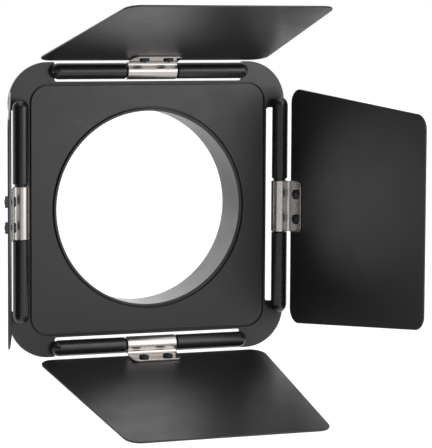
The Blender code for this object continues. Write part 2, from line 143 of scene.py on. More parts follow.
# Leaves
LEAF_LENGTH = 100.0 * MM
LEAF_NEAR_WIDTH = 107.0 * MM
LEAF_FAR_WIDTH = 90.0 * MM
LEAF_THICKNESS = 0.8 * MM
LEAF_NEAR_EDGE = 3.0 * MM
LEAF_INNER_FACE = 4.0 * MM
LEAF_CORNER_RADIUS = 6.5 * MM
LEAF_EDGE = 0.22 * MM

# Clamp screws and nuts
SCREW_SPACING = 11.2 * MM
SCREW_REACH = 8.7 * MM
SCREW_RADIUS = 1.2 * MM
SCREW_HOLE_RADIUS = 1.45 * MM
SCREW_HEAD_RADIUS = 2.2 * MM
SCREW_HEAD_HEIGHT = 1.0 * MM
SCREW_HEAD_CROWN = 0.45 * SCREW_HEAD_HEIGHT
SCREW_HEAD_RIM = 0.15 * MM
SCREW_TIP = 0.2 * MM
THREAD_PITCH = 0.45 * MM
THREAD_DEPTH = 0.14 * MM
RECESS_WIDTH = 0.6 * MM
RECESS_LENGTH = 2.6 * MM
RECESS_DEPTH = 0.55 * MM
NUT_ACROSS_FLATS = 5.0 * MM
NUT_HEIGHT = 1.9 * MM
NUT_HOLE_RADIUS = 1.24 * MM
NUT_CHAMFER = 0.35 * MM
NUT_CORNER_RADIUS = 0.12 * MM
FACE_GAP = 0.15 * MM
SEAT_GAP = 0.02 * MM
LEAF_OUTER_FACE = LEAF_INNER_FACE + LEAF_THICKNESS
TAB_FACE = LEAF_INNER_FACE - FACE_GAP - CLIP_THICKNESS

# Camera: its place, the direction it looks in and its lens
CAMERA_PLACE = (-0.35379, -0.99550, 0.08956)
CAMERA_AZIMUTH = math.radians(21.593)
CAMERA_ELEVATION = math.radians(-5.329)
CAMERA_ROLL = math.radians(0.303)
CAMERA_LENS = 187.54

# Studio light, in units of plain white: a dim room, and what is bright in it, each as
# (azimuth and elevation of its middle, angles out to where it is full and has faded, strength)
ROOM_LIGHT = 0.28
BRIGHT_AREAS = {
    "backdrop": (180, 8, 26, 50, 1.6),
    "ceiling": (0, 75, 25, 50, 1.2),
    "table": (0, -90, 40, 70, 0.5),
}
# The softbox stands at the front right, square to the plate
SOFTBOX_LOW_CORNER = (0.18, -0.77, -0.06)
SOFTBOX_WIDTH = 0.92
SOFTBOX_HEIGHT = 0.81
SOFTBOX_STRENGTH = 2.7

# Fineness of round stretches
COLLAR_STEPS = 224
BAR_STEPS = 64
SCREW_STEPS = 40
HOLE_STEPS = 24
SCREW_HOLE_STEPS = 32
PLATE_CORNER_STEPS = 28
EDGE_STEPS = 3

# How far a cutter reaches past what it cuts
OVERCUT = 1 * MM

# Floor
FLOOR_HEIGHT = -0.6
FLOOR_HALF_SIZE = 15.0
FLOOR_GLOW = 0.4


# ---------------------------------------------------------------- outlines

def arc(centre, radius, start, end, steps):
    """Points on a circle from angle start to angle end, both included, in degrees."""
    points = []
    for step in range(steps + 1):
        angle = math.radians(start + (end - start) * step / steps)
        points.append((centre[0] + radius * math.cos(angle), centre[1] + radius * math.sin(angle)))
    return points


def circle(centre, radius, steps):
    return arc(centre, radius, 0, 360 - 360 / steps, steps - 1)


def fillet(before, corner, after, radius, steps):
    """The corner of a polygon rounded to radius."""
    corner = Vector(corner)
    towards = (Vector(before) - corner).normalized()
    away = (Vector(after) - corner).normalized()
    half = towards.angle(away) / 2
    middle = corner + (towards + away).normalized() * (radius / math.sin(half))
    first = corner + towards * (radius / math.tan(half)) - middle
    last = corner + away * (radius / math.tan(half)) - middle
    sweep = first.angle_signed(last)
    points = []
    for step in range(steps + 1):
        turned = first.copy()
        turned.rotate(Matrix.Rotation(-sweep * step / steps, 2))
        points.append(tuple(middle + turned))
    return points


def rounded(corners, radii, steps=6):
    """A closed polygon with each corner rounded to its own radius; zero keeps it sharp."""
    points = []
    count = len(corners)
    for index in range(count):
        if radii[index] == 0:
            points.append(tuple(corners[index]))
            continue
        points += fillet(corners[index - 1], corners[index], corners[(index + 1) % count],
                         radii[index], steps)
    return points


def rounded_square(half, radius, steps=16):
    corners = [(-half, -half), (half, -half), (half, half), (-half, half)]
    return rounded(corners, [radius] * 4, steps)


# ---------------------------------------------------------------- meshes

def object_from(name, mesh_data):
    mesh = bpy.data.meshes.new(name)
    bmesh.ops.recalc_face_normals(mesh_data, faces=mesh_data.faces)
    mesh_data.to_mesh(mesh)
    mesh_data.free()
    item = bpy.data.objects.new(name, mesh)
    bpy.context.scene.collection.objects.link(item)
    return item


def applied(item):
    """item with its modifiers applied to its mesh."""
    view = bpy.context.evaluated_depsgraph_get()
    mesh = bpy.data.meshes.new_from_object(item.evaluated_get(view))
    item.modifiers.clear()
    item.data = mesh
    return item


def combined(item, tool, operation="DIFFERENCE"):
    """item cut by, or joined with, tool, which is used up."""
    modifier = item.modifiers.new("combine", "BOOLEAN")
    modifier.operation = operation
    modifier.solver = "EXACT"
    modifier.object = tool
    applied(item)
    bpy.data.objects.remove(tool, do_unlink=True)
    return item


def flat_sheet(name, outlines, thickness, edge):
    """A sheet in the XY plane, from z = 0 to thickness, with holes and softly rounded edges.

    The first outline is the outside, the others are holes.
    """
    curve = bpy.data.curves.new(name, "CURVE")
    curve.dimensions = "2D"
    curve.fill_mode = "BOTH"
    curve.extrude = thickness / 2 - edge
    curve.bevel_depth = edge
    curve.bevel_resolution = EDGE_STEPS
    curve.offset = -edge
    for outline in outlines:
        spline = curve.splines.new("POLY")
        spline.points.add(len(outline) - 1)
        for point, (u, v) in zip(spline.points, outline):
            point.co = (u, v, 0, 1)
        spline.use_cyclic_u = True
    guide = bpy.data.objects.new(name, curve)
    bpy.context.scene.collection.objects.link(guide)
    view = bpy.context.evaluated_depsgraph_get()
    mesh_data = bmesh.new()
    mesh_data.from_mesh(bpy.data.meshes.new_from_object(guide.evaluated_get(view)))
    bpy.data.objects.remove(guide, do_unlink=True)
    bmesh.ops.remove_doubles(mesh_data, verts=mesh_data.verts, dist=0.002 * MM)
    bmesh.ops.translate(mesh_data, verts=mesh_data.verts, vec=(0, 0, thickness / 2))
    return object_from(name, mesh_data)


def loft(name, levels):
    """A solid through outlines of equal counts, given as (height, outline) pairs."""
    mesh_data = bmesh.new()
    rings = []
    for height, outline in levels:
        rings.append([mesh_data.verts.new((u, v, height)) for u, v in outline])
    for first, second in zip(rings, rings[1:]):
        for index in range(len(first)):
            following = (index + 1) % len(first)
            mesh_data.faces.new([first[index], first[following], second[following], second[index]])
    mesh_data.faces.new(rings[0])
    mesh_data.faces.new(rings[-1])
    return object_from(name, mesh_data)


def prism(name, outline, low, high):
    return loft(name, [(low, outline), (high, outline)])


def turned(name, profile, steps):
    """A solid of revolution about Z.

    profile is a list of (radius, height) points: from axis to axis, or a closed loop.
    """
    mesh_data = bmesh.new()
    rings = []
    for radius, height in profile:
        if radius == 0:
            rings.append([mesh_data.verts.new((0, 0, height))])
            continue
        ring = circle((0, 0), radius, steps)
        rings.append([mesh_data.verts.new((u, v, height)) for u, v in ring])
    pairs = list(zip(rings, rings[1:]))
    if profile[0][0] != 0:
        pairs.append((rings[-1], rings[0]))
    for first, second in pairs:
        for index in range(steps):
            following = (index + 1) % steps
            corners = [first[index % len(first)], first[following % len(first)],
                       second[following % len(second)], second[index % len(second)]]
            mesh_data.faces.new(list(dict.fromkeys(corners)))
    return object_from(name, mesh_data)


def moved(item, matrix):
    item.data.transform(matrix)
    return item


def smooth(item, angle=40):
    """Smooth shading that keeps broad flat faces flat and crisp edges crisp."""
    item.data.shade_smooth()
    item.data.set_sharp_from_angle(angle=math.radians(angle))
    modifier = item.modifiers.new("weighted_normals", "WEIGHTED_NORMAL")
    modifier.keep_sharp = True
    modifier.weight = 50
    return applied(item)


def copy_of(item, name):
    twin = bpy.data.objects.new(name, item.data)
    bpy.context.scene.collection.objects.link(twin)
    return twin


def set_piece(item, node, body, matrix=None):
    """Puts item in place, lets it ride on its body and stand for its CAD node."""
    if matrix:
        item.matrix_world = matrix
    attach(item, body)
    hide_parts(node)


# A flat sheet's own XY plane laid into the plate's XZ plane, its thickness going towards +Y
UPRIGHT = Matrix(((1, 0, 0, 0), (0, 0, 1, 0), (0, 1, 0, 0), (0, 0, 0, 1)))
# A turned piece's own Z axis laid along X, along Y
ALONG_X = Matrix.Rotation(math.radians(90), 4, "Y")
ALONG_Y = Matrix.Rotation(math.radians(-90), 4, "X")


# ---------------------------------------------------------------- materials

class Shader:
    """One material's node tree, with short calls to add to it."""

    def __init__(self, name, colour, roughness, metallic=0.0):
        self.material = bpy.data.materials.new(name)
        self.material.use_nodes = True
        self.tree = self.material.node_tree
        self.surface = self.tree.nodes["Principled BSDF"]
        self.surface.inputs["Base Color"].default_value = (*colour, 1)
        self.surface.inputs["Roughness"].default_value = roughness
        self.surface.inputs["Metallic"].default_value = metallic
        self.place = self.add("ShaderNodeTexCoord").outputs["Object"]

    def add(self, kind, **settings):
        node = self.tree.nodes.new(kind)
        for key, value in settings.items():
            setattr(node, key, value)
        return node

    def link(self, start, end):
        self.tree.links.new(start, end)

    def noise(self, size, detail=2.0, stretch=(1, 1, 1)):
        """Cloudy noise whose blotches are about size metres wide."""
        mapping = self.add("ShaderNodeMapping")
        mapping.inputs["Scale"].default_value = [1 / (size * factor) for factor in stretch]
        self.link(self.place, mapping.inputs["Vector"])
        texture = self.add("ShaderNodeTexNoise")
        texture.inputs["Scale"].default_value = 1.0
        texture.inputs["Detail"].default_value = detail
        self.link(mapping.outputs["Vector"], texture.inputs["Vector"])
        return texture.outputs["Fac"]

    def ranged(self, value, low, high, out_low, out_high):
        node = self.add("ShaderNodeMapRange")
        for socket, number in zip(("From Min", "From Max", "To Min", "To Max"),
                                  (low, high, out_low, out_high)):
            node.inputs[socket].default_value = number
        self.link(value, node.inputs["Value"])
        return node.outputs["Result"]

    def times(self, first, second):
        node = self.add("ShaderNodeMath", operation="MULTIPLY")
        self.link(first, node.inputs[0])
        self.link(second, node.inputs[1])
        return node.outputs["Value"]

    def between(self, share, first, second):
        """A colour between two, where share says how far towards the second."""
        node = self.add("ShaderNodeMix", data_type="RGBA")
        self.link(share, node.inputs["Factor"])
        for socket, colour in ((node.inputs[6], first), (node.inputs[7], second)):
            if isinstance(colour, bpy.types.NodeSocket):
                self.link(colour, socket)
            else:
                socket.default_value = (*colour, 1)
        return node.outputs[2]

    def bump(self, height, depth, strength=1.0, under=None):
        node = self.add("ShaderNodeBump")
        node.inputs["Strength"].default_value = strength
        node.inputs["Distance"].default_value = depth
        self.link(height, node.inputs["Height"])
        if under:
            self.link(under, node.inputs["Normal"])
        return node.outputs["Normal"]

    def edges(self, low, high, size):
        """Where an edge is worn: the outward edges, broken up by noise."""
        point = self.add("ShaderNodeNewGeometry").outputs["Pointiness"]
        share = self.ranged(point, low, high, 0, 1)
        return self.times(share, self.ranged(self.noise(size, 3.0), 0.4, 0.65, 0, 1))


def powder_coat(name, colour, roughness, grain):
    """Fine-grained black powder coat, a little thinner and lighter along its edges."""
    shader = Shader(name, colour, roughness)
    cloud = shader.noise(24 * MM, 3.0)
    dark = [part * 0.9 for part in colour]
    light = [part * 1.12 for part in colour]
    worn = shader.edges(0.53, 0.62, 2.5 * MM)
    body = shader.between(cloud, dark, light)
    edge = [part * 2.2 for part in colour]
    shader.link(shader.between(worn, body, edge), shader.surface.inputs["Base Color"])
    patchy = shader.ranged(shader.noise(9 * MM, 4.0), 0.3, 0.7, roughness - 0.03, roughness + 0.03)
    shader.link(patchy, shader.surface.inputs["Roughness"])
    peel = shader.bump(shader.noise(grain * 3.5, 1.0), 0.012 * MM, 0.5)
    fine = shader.bump(shader.noise(grain, 3.0), 0.010 * MM, 0.6, peel)
    shader.link(fine, shader.surface.inputs["Normal"])
    return shader.material


def gloss_paint(name, colour, roughness):
    """Smooth semi-gloss stoving paint with a faint flow pattern."""
    shader = Shader(name, colour, roughness)
    body = shader.between(shader.noise(14 * MM, 3.0), [part * 0.9 for part in colour],
                          [part * 1.1 for part in colour])
    worn = shader.edges(0.54, 0.64, 1.6 * MM)
    shader.link(shader.between(worn, body, [part * 2.0 for part in colour]),
                shader.surface.inputs["Base Color"])
    patchy = shader.ranged(shader.noise(5 * MM, 4.0), 0.3, 0.7, roughness - 0.03, roughness + 0.04)
    shader.link(patchy, shader.surface.inputs["Roughness"])
    shader.link(shader.bump(shader.noise(0.9 * MM, 2.0), 0.008 * MM, 0.5),
                shader.surface.inputs["Normal"])
    return shader.material


def plated_strip(name, colour, roughness):
    """Bright nickel plate over cold-rolled strip, with fine rolling lines along the strip."""
    shader = Shader(name, colour, roughness, 1.0)
    stain = shader.between(shader.noise(7 * MM, 3.0), [part * 0.93 for part in colour],
                           [min(1.0, part * 1.05) for part in colour])
    shader.link(stain, shader.surface.inputs["Base Color"])
    lines = shader.noise(0.05 * MM, 2.0, (1, 80, 80))
    shader.link(shader.ranged(lines, 0.3, 0.7, roughness - 0.02, roughness + 0.03),
                shader.surface.inputs["Roughness"])
    shader.link(shader.bump(lines, 0.0004 * MM, 0.5), shader.surface.inputs["Normal"])
    return shader.material


def black_zinc(name, colour, roughness):
    """Black zinc plating with a faint blue cast, rubbed bright along its edges."""
    shader = Shader(name, colour, roughness, 1.0)
    cast = shader.between(shader.noise(1.5 * MM, 3.0), colour,
                          [colour[0] * 0.85, colour[1], colour[2] * 1.15])
    worn = shader.edges(0.53, 0.62, 0.6 * MM)
    shader.link(shader.between(worn, cast, (0.10, 0.105, 0.115)),
                shader.surface.inputs["Base Color"])
    patchy = shader.ranged(shader.noise(0.8 * MM, 3.0), 0.3, 0.7, roughness - 0.06,
                           roughness + 0.08)
    shader.link(patchy, shader.surface.inputs["Roughness"])
    shader.link(shader.bump(shader.noise(0.18 * MM, 2.0), 0.004 * MM, 0.5),
                shader.surface.inputs["Normal"])
    return shader.material


# ---------------------------------------------------------------- plate, panel and collar

def rivet_places():
    places = []
    for index in range(RIVETS):
        angle = 2 * math.pi * (index + 0.5) / RIVETS
        places.append((RIVET_CIRCLE * math.cos(angle), RIVET_CIRCLE * math.sin(angle)))
    return places


def bar_screw_places():
    """Only the two upright bars have screws."""
    return [(side * HINGE_OFFSET, end * BAR_SCREW_POSITION) for side in (-1, 1) for end in (-1, 1)]


def plate_outline():
    """The square plate with an open notch in the middle of each edge."""
    quarter = [(-NOTCH_HALF_LENGTH, PLATE_HALF), (-NOTCH_HALF_LENGTH, NOTCH_INNER_EDGE),
               (NOTCH_HALF_LENGTH, NOTCH_INNER_EDGE), (NOTCH_HALF_LENGTH, PLATE_HALF),
               (PLATE_HALF, PLATE_HALF)]
    radii = [NOTCH_MOUTH_RADIUS, NOTCH_CORNER_RADIUS, NOTCH_CORNER_RADIUS, NOTCH_MOUTH_RADIUS,
             PLATE_CORNER_RADIUS]
    corners = []
    for side in range(4):
        turn = Matrix.Rotation(math.radians(-90 * side), 2)
        corners += [tuple(turn @ Vector(corner)) for corner in quarter]
    points = []
    for index, corner in enumerate(corners):
        radius = radii[index % len(quarter)]
        steps = PLATE_CORNER_STEPS if radius == PLATE_CORNER_RADIUS else 6
        points += fillet(corners[index - 1], corner, corners[(index + 1) % len(corners)],
                         radius, steps)
    return points


def build_frame_plate(materials):
    holes = [circle((0, 0), COLLAR_HOLE_RADIUS, COLLAR_STEPS)]
    holes += [circle(place, RIVET_SHANK_RADIUS + HOLE_GAP, HOLE_STEPS) for place in rivet_places()]
    holes += [circle(place, BAR_SCREW_RADIUS + HOLE_GAP, HOLE_STEPS)
              for place in bar_screw_places()]
    plate = flat_sheet("plate_with_pocket", [plate_outline()] + holes, PLATE_BACK - PLATE_FRONT,
                       PLATE_EDGE)
    mouth = rounded_square(POCKET_HALF + POCKET_LIP + OVERCUT, POCKET_CORNER_RADIUS + OVERCUT)
    pocket = loft("pocket", [
        (-OVERCUT, mouth),
        (POCKET_LIP, rounded_square(POCKET_HALF, POCKET_CORNER_RADIUS)),
        (POCKET_DEPTH, rounded_square(POCKET_HALF, POCKET_CORNER_RADIUS)),
    ])
    combined(plate, pocket)
    smooth(moved(plate, Matrix.Translation((0, PLATE_FRONT, 0)) @ UPRIGHT))
    plate.data.materials.append(materials["satin_black"])
    set_piece(plate, "frame_plate", "plate_and_collar")


def build_front_panel(materials):
    pocket_gap = POCKET_HALF - PANEL_HALF
    outline = rounded_square(PANEL_HALF, POCKET_CORNER_RADIUS - pocket_gap)
    hole = circle((0, 0), PANEL_HOLE_RADIUS, COLLAR_STEPS)
    panel = flat_sheet("inlaid_panel", [outline, hole], PANEL_THICKNESS, PANEL_EDGE)
    smooth(moved(panel, Matrix.Translation((0, PLATE_FRONT, 0)) @ UPRIGHT))
    panel.data.materials.append(materials["satin_black"])
    set_piece(panel, "front_panel", "plate_and_collar")


def build_collar(materials):
    """The collar: a tube with a rounded lip at each end and a flange on the plate's back."""
    flange_back = FLANGE_FRONT + FLANGE_THICKNESS
    corners = [
        (BORE_RADIUS, PLATE_FRONT), (COLLAR_OUTER_RADIUS, PLATE_FRONT),
        (COLLAR_OUTER_RADIUS, FLANGE_FRONT), (FLANGE_RADIUS, FLANGE_FRONT),
        (FLANGE_RADIUS, flange_back), (COLLAR_OUTER_RADIUS, flange_back),
        (COLLAR_OUTER_RADIUS, COLLAR_REAR), (BORE_RADIUS, COLLAR_REAR),
    ]
    radii = [COLLAR_LIP, FLANGE_EDGE, 0, FLANGE_EDGE, FLANGE_EDGE, FLANGE_FILLET, COLLAR_EDGE,
             COLLAR_EDGE]
    collar = turned("collar_with_flange", rounded(corners, radii, 5), COLLAR_STEPS)
    for place in rivet_places():
        hole = prism("hole", circle(place, RIVET_SHANK_RADIUS + HOLE_GAP, HOLE_STEPS),
                     FLANGE_FRONT - OVERCUT, flange_back + OVERCUT)
        combined(collar, hole)
    smooth(moved(collar, ALONG_Y))
    collar.data.materials.append(materials["satin_black"])
    set_piece(collar, "collar_tube", "plate_and_collar")


def build_rivets(materials):
    front = PLATE_FRONT + POCKET_DEPTH + FACE_GAP
    seat = FLANGE_FRONT + FLANGE_THICKNESS + SEAT_GAP
    dome = [(RIVET_HEAD_RADIUS * math.cos(math.radians(angle)),
             seat + RIVET_RIM + (RIVET_HEAD_HEIGHT - RIVET_RIM) * math.sin(math.radians(angle)))
            for angle in range(0, 90, 10)]
    profile = [(0, front), (RIVET_SHANK_RADIUS, front), (RIVET_SHANK_RADIUS, seat),
               (RIVET_HEAD_RADIUS, seat)] + dome + [(0, seat + RIVET_HEAD_HEIGHT)]
    rivet = smooth(moved(turned("domed_rivet_1", profile, SCREW_STEPS), ALONG_Y))
    rivet.data.materials.append(materials["dark_zinc"])
    for number, (x, z) in enumerate(rivet_places(), start=1):
        item = rivet if number == 1 else copy_of(rivet, f"domed_rivet_{number}")
        set_piece(item, f"collar_rivet_{number}", "plate_and_collar",
                  Matrix.Translation((x, 0, z)))


# ---------------------------------------------------------------- hinge bars

def side_frame(hinge):
    """X along the hinge bar, Y along the light's axis, Z outwards, from the hinge axis."""
    along = -Vector(hinge["axis"])
    light = Vector((0, 1, 0))
    matrix = Matrix((along, light, along.cross(light))).transposed().to_4x4()
    matrix.translation = Vector(hinge["pos_m"])
    return matrix


def bar_profile(half_length):
    """A round bar's half: domed end, soft shoulder and thinner journal, then mirrored."""
    straight = half_length - BAR_DOME_LENGTH
    half = [(0, half_length)]
    for step in range(1, 13):
        angle = math.radians(90 * step / 12)
        half.append((BAR_RADIUS * math.sin(angle), straight + BAR_DOME_LENGTH * math.cos(angle)))
    shoulder = JOURNAL_HALF_LENGTH
    half += fillet((BAR_RADIUS, straight), (BAR_RADIUS, shoulder), (JOURNAL_RADIUS, shoulder),
                   SHOULDER_ROUND, 5)
    half.append((JOURNAL_RADIUS, shoulder))
    return half + [(radius, -height) for radius, height in half[::-1]]


def foot_outline(end):
    """Plan of a high bar's foot, square towards the notch and rounded towards the corner."""
    inner = end * (BAR_SCREW_POSITION - FOOT_LENGTH / 2)
    outer = end * (BAR_SCREW_POSITION + FOOT_LENGTH / 2)
    corners = [(inner, -FOOT_HALF_WIDTH), (outer, -FOOT_HALF_WIDTH),
               (outer, FOOT_HALF_WIDTH), (inner, FOOT_HALF_WIDTH)]
    soft = 0.6 * FOOT_HALF_WIDTH
    return rounded(corners, [FOOT_EDGE, soft, soft, FOOT_EDGE], 6)


def low_bar():
    """A bar that lies in its notch; behind its ends it is cut flat to lap onto the plate."""
    bar = moved(turned("round_bar_top", bar_profile(LOW_BAR_HALF_LENGTH), BAR_STEPS), ALONG_X)
    lap_face = PLATE_FRONT - LOW_AXIS_Y - LAP_GAP
    width = BAR_RADIUS + OVERCUT
    for end in (-1, 1):
        inner = end * (NOTCH_HALF_LENGTH - 0.2 * MM)
        outer = end * (LOW_BAR_HALF_LENGTH + OVERCUT)
        outline = [(inner, -width), (outer, -width), (outer, width), (inner, width)]
        combined(bar, moved(prism("lap", outline, lap_face, lap_face + 2 * BAR_RADIUS), UPRIGHT))
    return bar


def high_bar():
    bar = moved(turned("round_bar_right", bar_profile(HIGH_BAR_HALF_LENGTH), BAR_STEPS), ALONG_X)
    for end in (-1, 1):
        foot = moved(prism("foot", foot_outline(end), 0, FOOT_BASE), UPRIGHT)
        combined(bar, foot, "UNION")
    return bar


def build_hinge_bars(materials):
    for bar, sides in ((low_bar(), ("top", "bottom")), (high_bar(), ("right", "left"))):
        smooth(bar)
        bar.data.materials.append(materials["bar_black"])
        for side in sides:
            item = bar if side == sides[0] else copy_of(bar, "round_bar_" + side)
            set_piece(item, "hinge_bar_" + side, "plate_and_collar",
                      side_frame(HINGES[side]))


def build_bar_screws(materials):
    """Cross-slotted pan heads on the plate's back, one behind each foot."""
    seat = PLATE_BACK - HIGH_AXIS_Y + 0.05 * MM
    top = seat + BAR_SCREW_HEAD_HEIGHT
    tip = FOOT_BASE + 0.2 * MM
    profile = [(0, tip), (BAR_SCREW_RADIUS, tip), (BAR_SCREW_RADIUS, seat)]
    profile += fillet((BAR_SCREW_RADIUS, seat), (BAR_SCREW_HEAD_RADIUS, seat),
                      (BAR_SCREW_HEAD_RADIUS, top), BAR_SCREW_RIM, 3)
    profile += fillet((BAR_SCREW_HEAD_RADIUS, seat), (BAR_SCREW_HEAD_RADIUS, top), (0, top),
                      BAR_SCREW_CROWN, 6)
    profile.append((0, top))
    screw = turned("foot_screw_right_1", profile, SCREW_STEPS)
    reach = 0.55 * BAR_SCREW_HEAD_RADIUS
    slit = BAR_SCREW_SLOT_HALF_WIDTH
    for width, length in ((slit, reach), (reach, slit)):
        slot = [(-width, -length), (width, -length), (width, length), (-width, length)]
        combined(screw, prism("cross_slot", slot, top - BAR_SCREW_SLOT_DEPTH, top + OVERCUT))
    smooth(moved(screw, ALONG_Y))
    screw.data.materials.append(materials["dark_zinc"])
    for side in ("right", "left"):
        for number, end in enumerate((-1, 1), start=1):
            first = side == "right" and number == 1
            item = screw if first else copy_of(screw, f"foot_screw_{side}_{number}")
            place = Matrix.Translation((end * BAR_SCREW_POSITION, 0, 0))
            set_piece(item, f"bar_screw_{side}_{number}", "plate_and_collar",
                      side_frame(HINGES[side]) @ place)


# ---------------------------------------------------------------- leaves, clips and screws

def leaf_frame(side):
    """The side's frame turned by the leaf's opening angle, read from the leaf's broad face."""
    base = side_frame(HINGES[side])
    node = frame["nodes"]["leaf_" + side]
    broad = max(node.data.polygons, key=lambda polygon: polygon.area)
    normal = base.to_3x3().transposed() @ broad.normal
    if normal.z < 0:
        normal.negate()
    low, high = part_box("leaf_" + side)
    slide = (base.inverted() @ ((low + high) / 2)).x
    opening = Matrix.Rotation(-math.atan2(normal.y, normal.z), 4, "X")
    return base @ Matrix.Translation((slide, 0, 0)) @ opening


def screw_places():
    return [-SCREW_SPACING / 2, SCREW_SPACING / 2]


def build_leaf(materials):
    near = -LEAF_NEAR_EDGE
    far = -LEAF_NEAR_EDGE - LEAF_LENGTH
    wide = LEAF_NEAR_WIDTH / 2
    narrow = LEAF_FAR_WIDTH / 2
    outline = rounded([(-wide, near), (-narrow, far), (narrow, far), (wide, near)],
                      [LEAF_CORNER_RADIUS] * 4, 16)
    holes = [circle((x, -SCREW_REACH), SCREW_HOLE_RADIUS, SCREW_HOLE_STEPS)
             for x in screw_places()]
    leaf = flat_sheet("door_leaf_top", [outline] + holes, LEAF_THICKNESS, LEAF_EDGE)
    smooth(moved(leaf, Matrix.Translation((0, 0, LEAF_INNER_FACE))))
    leaf.data.materials.append(materials["leaf_black"])
    return leaf


def clip_centre_line():
    """The strip's centre line as (reach, height) points, from its free end to the tab's end."""
    barrel = JOURNAL_RADIUS + CLIP_GRIP_GAP + CLIP_THICKNESS / 2
    tab = TAB_FACE + CLIP_THICKNESS / 2
    throat = CLIP_THROAT_RADIUS
    centre = (math.sqrt((barrel + throat) ** 2 - (tab - throat) ** 2), tab - throat)
    join = math.degrees(math.atan2(centre[1], centre[0]))
    points = arc((0, 0), barrel, CLIP_FREE_END_ANGLE, 360 + join, 80)
    points += arc(centre, throat, join + 180, 90, 20)[1:]
    points.append((CLIP_TAB_END, tab))
    return points


def bent_along(item, line):
    """A flat blank, long in X from 0, bent so that it follows the line of (reach, height)."""
    stations = [0.0]
    for before, after in zip(line, line[1:]):
        stations.append(stations[-1] + (Vector(after) - Vector(before)).length)
    last = len(line) - 1
    directions = []
    for index in range(last + 1):
        before = Vector(line[max(index - 1, 0)])
        after = Vector(line[min(index + 1, last)])
        directions.append((after - before).normalized())
    mesh_data = bmesh.new()
    mesh_data.from_mesh(item.data)
    for station in stations[1:-1]:
        everything = mesh_data.verts[:] + mesh_data.edges[:] + mesh_data.faces[:]
        bmesh.ops.bisect_plane(mesh_data, geom=everything, dist=0.001 * MM,
                               plane_co=(station, 0, 0), plane_no=(1, 0, 0))
    for vertex in mesh_data.verts:
        along = min(max(vertex.co.x, 0), stations[-1])
        index = 0
        while index < last - 1 and stations[index + 1] < along:
            index += 1
        share = (along - stations[index]) / (stations[index + 1] - stations[index])
        spot = Vector(line[index]).lerp(Vector(line[index + 1]), share)
        direction = directions[index].lerp(directions[index + 1], share).normalized()
        across = Vector((-direction.y, direction.x)) * vertex.co.z
        reach, height = spot + across
        vertex.co = (vertex.co.y, -reach, height)
    bmesh.ops.recalc_face_normals(mesh_data, faces=mesh_data.faces)
    mesh_data.to_mesh(item.data)
    mesh_data.free()
    return item


def build_clip(materials):
    """A stamped blank with rounded tab corners and two holes, curled round the journal."""
    line = clip_centre_line()
    length = sum((Vector(after) - Vector(before)).length for before, after in zip(line, line[1:]))
    half = CLIP_WIDTH / 2
    corner = CLIP_TAB_CORNER_RADIUS
    free_corner = CLIP_FREE_END_CORNER_RADIUS
    outline = rounded([(0, -half), (length, -half), (length, half), (0, half)],
                      [free_corner, corner, corner, free_corner], 12)
    hole_station = length - (CLIP_TAB_END - SCREW_REACH)
    holes = [circle((hole_station, x), SCREW_HOLE_RADIUS, SCREW_HOLE_STEPS)
             for x in screw_places()]
    clip = flat_sheet("spring_clip_top", [outline] + holes, CLIP_THICKNESS, CLIP_EDGE)
    moved(clip, Matrix.Translation((0, 0, -CLIP_THICKNESS / 2)))
    smooth(bent_along(clip, line))
    clip.data.materials.append(materials["nickel"])
    return clip


def cross_outline():
    """The plan of a cross recess."""
    half = RECESS_WIDTH / 2
    reach = RECESS_LENGTH / 2
    arm = [(reach, -half), (reach, half), (half, half)]
    points = []
    for index in range(4):
        turn = Matrix.Rotation(math.radians(90 * index), 2)
        points += [tuple(turn @ Vector(point)) for point in arm]
    return points


def build_screw(materials):
    """A cross-recessed screw with a low domed head, its thread ending just past the nut."""
    seat = TAB_FACE - SEAT_GAP
    top = TAB_FACE - FACE_GAP - SCREW_HEAD_HEIGHT
    tip = LEAF_OUTER_FACE + FACE_GAP + NUT_HEIGHT + SCREW_TIP
    root = SCREW_RADIUS - THREAD_DEPTH
    profile = [(0, top)]
    for angle in range(15, 91, 15):
        profile.append((SCREW_HEAD_RADIUS * math.sin(math.radians(angle)),
                        top + SCREW_HEAD_CROWN * (1 - math.cos(math.radians(angle)))))
    profile += fillet((SCREW_HEAD_RADIUS, top), (SCREW_HEAD_RADIUS, seat), (root, seat),
                      SCREW_HEAD_RIM, 3)
    profile.append((root, seat))
    height = seat + 0.2 * MM
    while height < tip - THREAD_PITCH:
        profile += [(root, height), (SCREW_RADIUS, height + 0.5 * THREAD_PITCH)]
        height += THREAD_PITCH
    profile += [(root, height), (root - 0.1 * MM, tip), (0, tip)]
    screw = turned("pan_screw_top_1", profile, SCREW_STEPS)
    combined(screw, prism("recess", cross_outline(), top - OVERCUT, top + RECESS_DEPTH))
    smooth(screw)
    screw.data.materials.append(materials["dark_zinc"])
    return screw


def build_nut(materials):
    """A hexagon nut with chamfered corners, outside the leaf, one corner towards the hinge."""
    seat = LEAF_OUTER_FACE + SEAT_GAP
    top = LEAF_OUTER_FACE + FACE_GAP + NUT_HEIGHT
    corner_radius = NUT_ACROSS_FLATS / math.sqrt(3)
    hexagon = rounded(arc((0, 0), corner_radius, 30, 330, 5), [NUT_CORNER_RADIUS] * 6, 3)
    nut = prism("hexagon_nut_top_1", hexagon, seat, top)
    flat = 0.96 * NUT_ACROSS_FLATS / 2
    cut = NUT_CHAMFER
    chamfer = turned("chamfer", [(0, seat), (flat + 2 * cut, seat), (flat + 2 * cut, top - cut),
                                 (flat, top), (0, top)], 64)
    combined(nut, chamfer, "INTERSECT")
    below = seat - OVERCUT
    above = top + OVERCUT
    bore = turned("bore", [(0, below), (NUT_HOLE_RADIUS, below), (NUT_HOLE_RADIUS, top - 0.2 * MM),
                           (NUT_HOLE_RADIUS + 1.2 * MM, above), (0, above)], SCREW_STEPS)
    combined(nut, bore)
    smooth(nut, 30)
    nut.data.materials.append(materials["dark_zinc"])
    return nut


